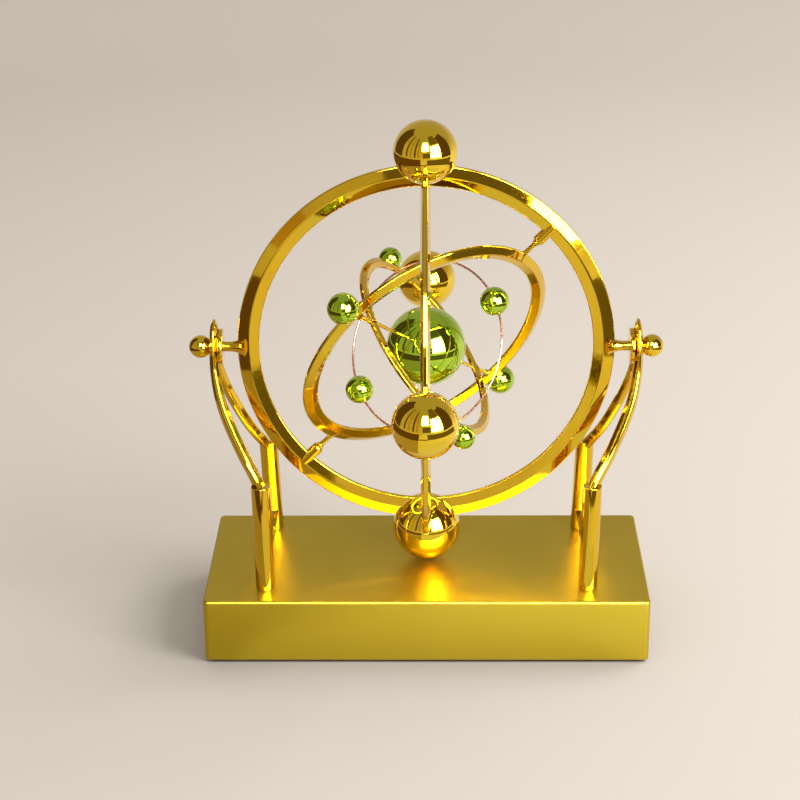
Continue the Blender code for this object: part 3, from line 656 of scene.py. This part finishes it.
def make_rotor(looks):
    """Two crossed rings with their four balls, the axles and the two pivot sockets."""
    gold = looks["plated_gold"]
    ball_gold = looks["plated_gold_ball"]
    planes = {"outer": frame_along(HUB, Y_AXIS), "cross": frame_along(HUB, X_AXIS)}
    outline = softened(ring_outline(*RING_SIZES), 0.45 * MM)
    for name, place in planes.items():
        mesh = turned(f"{name}_ring_plated", outline, 224, place)
        piece(f"{name}_ring_plated", mesh, gold, "rotor", [f"{name}_ring"])
    places = (("top", Z_AXIS, 2), ("bottom", -Z_AXIS, 2), ("front", -Y_AXIS, 1), ("rear", Y_AXIS, 1))
    for name, away, crossings in places:
        crossed = ("cross", "outer")[:crossings]
        cutters = [ring_cutter(*RING_SIZES, planes[plane]) for plane in crossed]
        radius = BOTTOM_BALL_RADIUS if name == "bottom" else BALL_RADIUS
        orbit = BOTTOM_BALL_ORBIT if name == "bottom" else BALL_ORBIT
        mesh = ball(f"{name}_ball_plated", radius, HUB + away * orbit, cutters)
        piece(f"{name}_ball_plated", mesh, ball_gold, "rotor", [f"{name}_ball"])
    for side, name in ((-1, "left"), (1, "right")):
        make_axle(looks, side, name, planes["outer"])
    ridge = RING_OUTER - RING_BAND / 2
    for sign, name in ((1, "upper"), (-1, "lower")):
        bore = PIN_RADIUS + CLEARANCE
        outline = [
            (bore, SOCKET_START), (SOCKET_RADIUS - 0.6 * MM, SOCKET_START),
            (SOCKET_RADIUS, SOCKET_START + 0.8 * MM), (SOCKET_RADIUS, ridge), (0, ridge),
            (0, ridge - 5 * MM), (bore, ridge - 5 * MM),
        ]
        mesh = turned("socket", softened(outline, 0.2 * MM), 64, frame_along(HUB, DIAGONAL_AXIS * sign))
        mesh = carved(mesh, [ring_cutter(*RING_SIZES, planes["outer"])])
        piece(f"{name}_socket_plated", mesh, gold, "rotor", [f"{name}_pivot_socket"])


def flare(start, end, wide, narrow, steps=12):
    """Points along a neck that narrows from wide to narrow."""
    points = []
    for step in range(steps + 1):
        share = step / steps
        points.append((narrow + (wide - narrow) * (1 - share) ** 2.2, start + (end - start) * share))
    return points


def make_axle(looks, side, name, plane):
    """A round axle whose flared foot grips the ring's edge, with a ball knob on its end."""
    tip = KNOB_X - KNOB_RADIUS + 0.3 * MM
    outline = [(0, FLARE_START), *flare(FLARE_START, FLARE_END, FLARE_RADIUS, AXLE_RADIUS)]
    outline += [(AXLE_RADIUS, tip), (0, tip)]
    mesh = turned(f"{name}_axle_plated", outline, 64, frame_along(HUB, X_AXIS * side))
    mesh = carved(mesh, [ring_cutter(*RING_SIZES, plane)])
    piece(f"{name}_axle_plated", mesh, looks["plated_gold"], "rotor", [f"{name}_axle"])
    knob = ball(f"{name}_knob_plated", KNOB_RADIUS, HUB + X_AXIS * side * KNOB_X)
    piece(f"{name}_knob_plated", knob, looks["plated_gold_ball"], "rotor", [f"{name}_knob"])


# ---------------------------------------------------------------- middle and inner rings

def make_middle(looks):
    """The middle ring with its pivot pins and its two rim balls."""
    gold = looks["plated_gold"]
    sizes = (MIDDLE_OUTER, MIDDLE_BAND, MIDDLE_THICKNESS, MIDDLE_EDGE)
    plane = frame_along(HUB, MIDDLE_NORMAL, DIAGONAL_AXIS)
    ring = turned("middle_ring_plated", softened(ring_outline(*sizes), 0.4 * MM), 192, plane)
    piece("middle_ring_plated", ring, gold, "middle", ["middle_ring"])
    ridge = MIDDLE_OUTER - MIDDLE_BAND / 2
    for sign, where, near in ((1, "upper", "near"), (-1, "lower", "far")):
        outline = [
            (0, ridge), *flare(ridge, MIDDLE_OUTER + 2.6 * MM, 2.4 * MM, PIN_RADIUS),
            (PIN_RADIUS, SOCKET_START - 1.6 * MM), (1.7 * MM, SOCKET_START - 0.9 * MM),
            (1.7 * MM, SOCKET_START - 0.3 * MM), (PIN_RADIUS, SOCKET_START - 0.3 * MM),
            (PIN_RADIUS, SOCKET_START + 4 * MM), (0, SOCKET_START + 4 * MM),
        ]
        pin = turned("pin", outline, 48, frame_along(HUB, DIAGONAL_AXIS * sign))
        pin = carved(pin, [ring_cutter(*sizes, plane)])
        piece(f"{where}_pin_plated", pin, gold, "middle", [f"{where}_pivot_pin"])
        centre = HUB + CROSS_AXIS * sign * RIM_BALL_ORBIT
        mesh = ball(f"{near}_rim_ball_plated", RIM_BALL_RADIUS, centre, [ring_cutter(*sizes, plane)])
        piece(f"{near}_rim_ball_plated", mesh, looks["plated_green"], "middle", [f"{near}_rim_ball"])


def make_inner(looks):
    """The inner ring with its rod, pins, wire and green balls."""
    gold = looks["plated_gold"]
    green = looks["plated_green"]
    sizes = (INNER_OUTER, INNER_BAND, INNER_THICKNESS, INNER_EDGE)
    plane = frame_along(HUB, INNER_NORMAL, CROSS_AXIS)
    ring = turned("inner_ring_plated", softened(ring_outline(*sizes), 0.35 * MM), 176, plane)
    piece("inner_ring_plated", ring, gold, "inner", ["inner_ring"])
    along = frame_along(HUB, CROSS_AXIS)
    reach = INNER_OUTER - INNER_BAND
    piece("centre_rod_plated", rod("centre_rod_plated", ROD_RADIUS, -reach, reach, along), gold,
          "inner", ["centre_rod"])
    piece("centre_ball_plated", ball("centre_ball_plated", CENTRE_BALL_RADIUS, HUB), green,
          "inner", ["centre_ball"])
    ridge = INNER_OUTER - INNER_BAND / 2
    tip = MIDDLE_OUTER - MIDDLE_BAND - 0.2 * MM
    for sign, where in ((1, "near"), (-1, "far")):
        outline = [
            (0, ridge), *flare(ridge, INNER_OUTER + 2.4 * MM, 1.9 * MM, PIN_RADIUS),
            (PIN_RADIUS, tip - 1.4 * MM), (1.7 * MM, tip - 0.9 * MM), (1.7 * MM, tip), (0, tip),
        ]
        pin = turned("pin", outline, 48, frame_along(HUB, CROSS_AXIS * sign))
        pin = carved(pin, [ring_cutter(*sizes, plane)])
        piece(f"{where}_inner_pin_plated", pin, gold, "inner", [f"{where}_inner_pin"])
    for sign, where in ((1, "rear"), (-1, "front")):
        centre = HUB + TILT_AXIS * sign * SMALL_BALL_ORBIT
        mesh = ball(f"{where}_edge_ball_plated", SMALL_BALL_RADIUS, centre, [ring_cutter(*sizes, plane)])
        piece(f"{where}_edge_ball_plated", mesh, green, "inner", [f"{where}_edge_ball"])
    for sign, where in ((1, "lower"), (-1, "upper")):
        centre = HUB + INNER_NORMAL * sign * WIRE_BALL_ORBIT
        mesh = ball(f"{where}_wire_ball_plated", WIRE_BALL_RADIUS, centre)
        piece(f"{where}_wire_ball_plated", mesh, green, "inner", [f"{where}_wire_ball"])
    make_wire(looks)


def make_wire(looks):
    """A closed loop of wire, a little longer along the inner ring's tilt axis."""
    bm = bmesh.new()
    loops = []
    steps = 160
    sides = 12
    for step in range(steps):
        angle = math.tau * step / steps
        centre = Vector((WIRE_LONG * math.cos(angle), WIRE_SHORT * math.sin(angle), 0))
        outward = Vector((WIRE_SHORT * math.cos(angle), WIRE_LONG * math.sin(angle), 0)).normalized()
        loops.append([
            bm.verts.new(centre + outward * WIRE_RADIUS * math.cos(math.tau * side / sides)
                         + Z_AXIS * WIRE_RADIUS * math.sin(math.tau * side / sides))
            for side in range(sides)
        ])
    looped(bm, loops, True)
    mesh = to_mesh("wire_orbit_bare", bm, frame_along(HUB, CROSS_AXIS, TILT_AXIS))
    piece("wire_orbit_bare", mesh, looks["copper"], "inner", ["wire_orbit"])


def dress_hidden_nodes(looks):
    """Give every CAD node that stays in view the look of its own material slot."""
    for node, slot in SLOTS.items():
        look = looks["coil_copper"] if node == "coil_winding" else looks[slot]
        mesh = frame["nodes"][node].data
        mesh.materials.clear()
        mesh.materials.append(look)


# ---------------------------------------------------------------- room, lights and camera

def stage_look(name, low, high, level, blend):
    """A plain matt finish that changes from the floor's colour to the wall's with height."""
    look, shader = new_material(name, 0.7, 0.0)
    shader.inputs["Specular IOR Level"].default_value = 0.0
    nodes = look.node_tree.nodes
    links = look.node_tree.links
    place = nodes.new("ShaderNodeTexCoord")
    parts = nodes.new("ShaderNodeSeparateXYZ")
    spread = nodes.new("ShaderNodeMapRange")
    spread.inputs["From Min"].default_value = level - blend
    spread.inputs["From Max"].default_value = level + blend
    mix = nodes.new("ShaderNodeMix")
    mix.data_type = "RGBA"
    mix.inputs["A"].default_value = (*low, 1)
    mix.inputs["B"].default_value = (*high, 1)
    links.new(place.outputs["Object"], parts.inputs["Vector"])
    links.new(parts.outputs["Z"], spread.inputs["Value"])
    links.new(spread.outputs["Result"], mix.inputs["Factor"])
    links.new(mix.outputs["Result"], shader.inputs["Base Color"])
    return look


def make_backdrop():
    """A round floor that sweeps up into a wall on every side of the sculpture."""
    profile = [(0.3, 0.0), (FLOOR_RADIUS, 0.0)]
    cove_steps = 16
    for step in range(1, cove_steps + 1):
        angle = math.radians(90 * step / cove_steps)
        profile.append((FLOOR_RADIUS + COVE_RADIUS * math.sin(angle), COVE_RADIUS * (1 - math.cos(angle))))
    profile.append((FLOOR_RADIUS + COVE_RADIUS, WALL_TOP))
    round_steps = 128
    bm = bmesh.new()
    columns = []
    for step in range(round_steps):
        angle = math.tau * step / round_steps
        columns.append([bm.verts.new((math.cos(angle) * r, math.sin(angle) * r, z)) for r, z in profile])
    for here, there in zip(columns, columns[1:] + columns[:1]):
        for row in range(len(profile) - 1):
            bm.faces.new((here[row], here[row + 1], there[row + 1], there[row]))
    bm.faces.new([column[0] for column in columns])
    mesh = bpy.data.meshes.new("backdrop")
    bm.to_mesh(mesh)
    bm.free()
    mesh.shade_smooth()
    mesh.materials.append(stage_look("backdrop", FLOOR_COLOUR, WALL_COLOUR, 0.1, 0.1))
    item = bpy.data.objects.new("backdrop", mesh)
    bpy.context.scene.collection.objects.link(item)


def direction(azimuth, elevation):
    """A unit vector; azimuth 0 is straight to the front and grows to the right."""
    azimuth = math.radians(azimuth)
    elevation = math.radians(elevation)
    return Vector((
        math.sin(azimuth) * math.cos(elevation),
        -math.cos(azimuth) * math.cos(elevation),
        math.sin(elevation),
    ))


def glowing_look(name, colour, strength):
    """A glow that metal reflects, but that metal doesn't throw on as light onto the floor."""
    look = bpy.data.materials.new(name)
    look.use_nodes = True
    nodes = look.node_tree.nodes
    links = look.node_tree.links
    nodes.clear()
    bounces = nodes.new("ShaderNodeLightPath")
    unscattered = nodes.new("ShaderNodeMath")
    unscattered.operation = "LESS_THAN"
    unscattered.inputs[1].default_value = 0.5
    links.new(bounces.outputs["Diffuse Depth"], unscattered.inputs[0])
    power = nodes.new("ShaderNodeMath")
    power.operation = "MULTIPLY"
    power.inputs[1].default_value = strength
    links.new(unscattered.outputs["Value"], power.inputs[0])
    glow = nodes.new("ShaderNodeEmission")
    glow.inputs["Color"].default_value = (*colour, 1)
    links.new(power.outputs["Value"], glow.inputs["Strength"])
    output = nodes.new("ShaderNodeOutputMaterial")
    links.new(glow.outputs["Emission"], output.inputs["Surface"])
    return look


def card(name, rows, colour, strength):
    """A panel through rows of points, which shows only in the sculpture's reflections."""
    bm = bmesh.new()
    lower, upper = [[bm.verts.new(point) for point in row] for row in rows]
    for step in range(len(lower) - 1):
        bm.faces.new((lower[step], lower[step + 1], upper[step + 1], upper[step]))
    mesh = bpy.data.meshes.new(name)
    bm.to_mesh(mesh)
    bm.free()
    mesh.materials.append(glowing_look(name, colour, strength))
    item = bpy.data.objects.new(name, mesh)
    bpy.context.scene.collection.objects.link(item)
    item.visible_camera = False
    item.visible_diffuse = False
    item.visible_shadow = False


def spread(span, steps=8):
    """Even steps from one end of a span to the other."""
    return [span[0] + (span[1] - span[0]) * step / steps for step in range(steps + 1)]


def wall_card(name, azimuths, elevations, distance, colour, strength=1.0):
    """A curved panel that stands around the sculpture, above the floor."""
    rows = []
    for elevation in elevations:
        rows.append([HUB + direction(azimuth, elevation) * distance for azimuth in spread(azimuths)])
        for point in rows[-1]:
            point.z = max(point.z, 2 * MM)
    card(name, rows, colour, strength)


def floor_card(name, azimuths, reaches, colour, strength=1.0):
    """A panel that lies just above the floor, between two distances from the sculpture."""
    height = Vector((0, 0, 1 * MM))
    rows = [[direction(azimuth, 0) * reach + height for azimuth in spread(azimuths)] for reach in reaches]
    card(name, rows, colour, strength)


def soft_light(name, azimuth, elevation, distance, size, power, colour):
    """A square light aimed at the hub, which metal doesn't mirror."""
    data = bpy.data.lights.new(name, "AREA")
    data.shape = "SQUARE"
    data.size = size
    data.energy = power
    data.color = colour
    lamp = bpy.data.objects.new(name, data)
    bpy.context.scene.collection.objects.link(lamp)
    away = direction(azimuth, elevation)
    lamp.matrix_world = frame_along(HUB + away * distance, away)
    lamp.visible_glossy = False


def make_lighting():
    """A dim warm room, four soft lights, and the cards that the metal mirrors."""
    world = bpy.data.worlds.new("studio")
    world.use_nodes = True
    background = world.node_tree.nodes["Background"]
    background.inputs["Color"].default_value = (1.0, 0.95, 0.89, 1)
    background.inputs["Strength"].default_value = 0.4
    bpy.context.scene.world = world
    # The cards are painted reflections, seen only in the metal: the white window and softbox cards paint its
    # bright highlights, the bright floor card paints a pool of light in them, and the dark and coloured cards
    # paint its darker reflections
    # Cards take their angles in degrees and their distances in metres
    white = (1.0, 0.99, 0.96)
    dark = (0.10, 0.06, 0.03)
    olive = (0.15, 0.12, 0.06)
    ochre = (0.46, 0.29, 0.11)
    tan = (0.40, 0.32, 0.22)
    brown = (0.12, 0.065, 0.025)
    wall_card("window_card", (19, 56), (-1, 38), 1.0, white, 26)
    wall_card("softbox_card", (-12, 12), (21, 50), 1.3, white, 26)
    wall_card("middle_card", (-8, 18), (-2, 15), 1.05, olive)
    wall_card("right_card", (58, 100), (-5, 60), 1.05, dark)
    wall_card("above_card", (19, 56), (42, 70), 1.05, olive)
    for number, azimuth in enumerate((-22, -34, -50, -66)):
        wall_card(f"left_band_{number}", (azimuth - 6, azimuth), (-2, 62), 1.1, (ochre, dark)[number % 2])
    wall_card("far_left_card", (-135, -88), (-5, 60), 1.1, dark)
    floor_card("left_floor_card", (-150, -17), (0.32, 1.05), brown)
    floor_card("near_left_floor_card", (-150, -17), (0.10, 0.32), tan)
    floor_card("right_floor_card", (6, 100), (0.36, 0.98), olive)
    floor_card("line_floor_card", (-17, 6), (0.34, 0.38), dark)
    floor_card("bright_floor_card", (-8, 55), (0.1, 0.26), white, 0.75)
    soft_light("key", 62, 38, 1.6, 0.9, 17, (1.0, 0.98, 0.95))
    soft_light("fill", -30, 45, 1.6, 1.2, 1, (1.0, 0.96, 0.92))
    soft_light("top", 150, 70, 1.3, 1.2, 2, (1.0, 0.98, 0.96))
    soft_light("back", 115, 38, 1.6, 0.9, 7, (1.0, 0.98, 0.96))


def make_camera():
    """A camera that looks down at the sculpture from the front."""
    distance = 0.9738
    target = Vector((-0.01181, 0, 0.1097))
    azimuth = math.radians(-1.017)
    elevation = math.radians(22.65)
    roll = math.radians(-0.492)
    forward = Vector((
        math.sin(azimuth) * math.cos(elevation),
        math.cos(azimuth) * math.cos(elevation),
        -math.sin(elevation),
    ))
    level = Vector((math.cos(azimuth), -math.sin(azimuth), 0))
    rise = level.cross(forward)
    right = level * math.cos(roll) + rise * math.sin(roll)
    up = rise * math.cos(roll) - level * math.sin(roll)
    data = bpy.data.cameras.new("camera")
    data.lens = 97.17
    data.sensor_width = 36
    data.clip_start = 0.01
    camera = bpy.data.objects.new("camera", data)
    bpy.context.scene.collection.objects.link(camera)
    turn = Matrix((right, up, -forward)).transposed().to_4x4()
    camera.matrix_world = Matrix.Translation(target - forward * distance) @ turn
    bpy.context.scene.camera = camera


def build():
    """Make every piece, the room, the lights and the camera."""
    looks = make_looks()
    dress_hidden_nodes(looks)
    make_housing(looks)
    make_feet(looks)
    make_posts(looks)
    make_arches(looks)
    make_rotor(looks)
    make_middle(looks)
    make_inner(looks)
    make_backdrop()
    make_lighting()
    make_camera()
    bpy.context.scene.view_settings.view_transform = "Standard"


build()
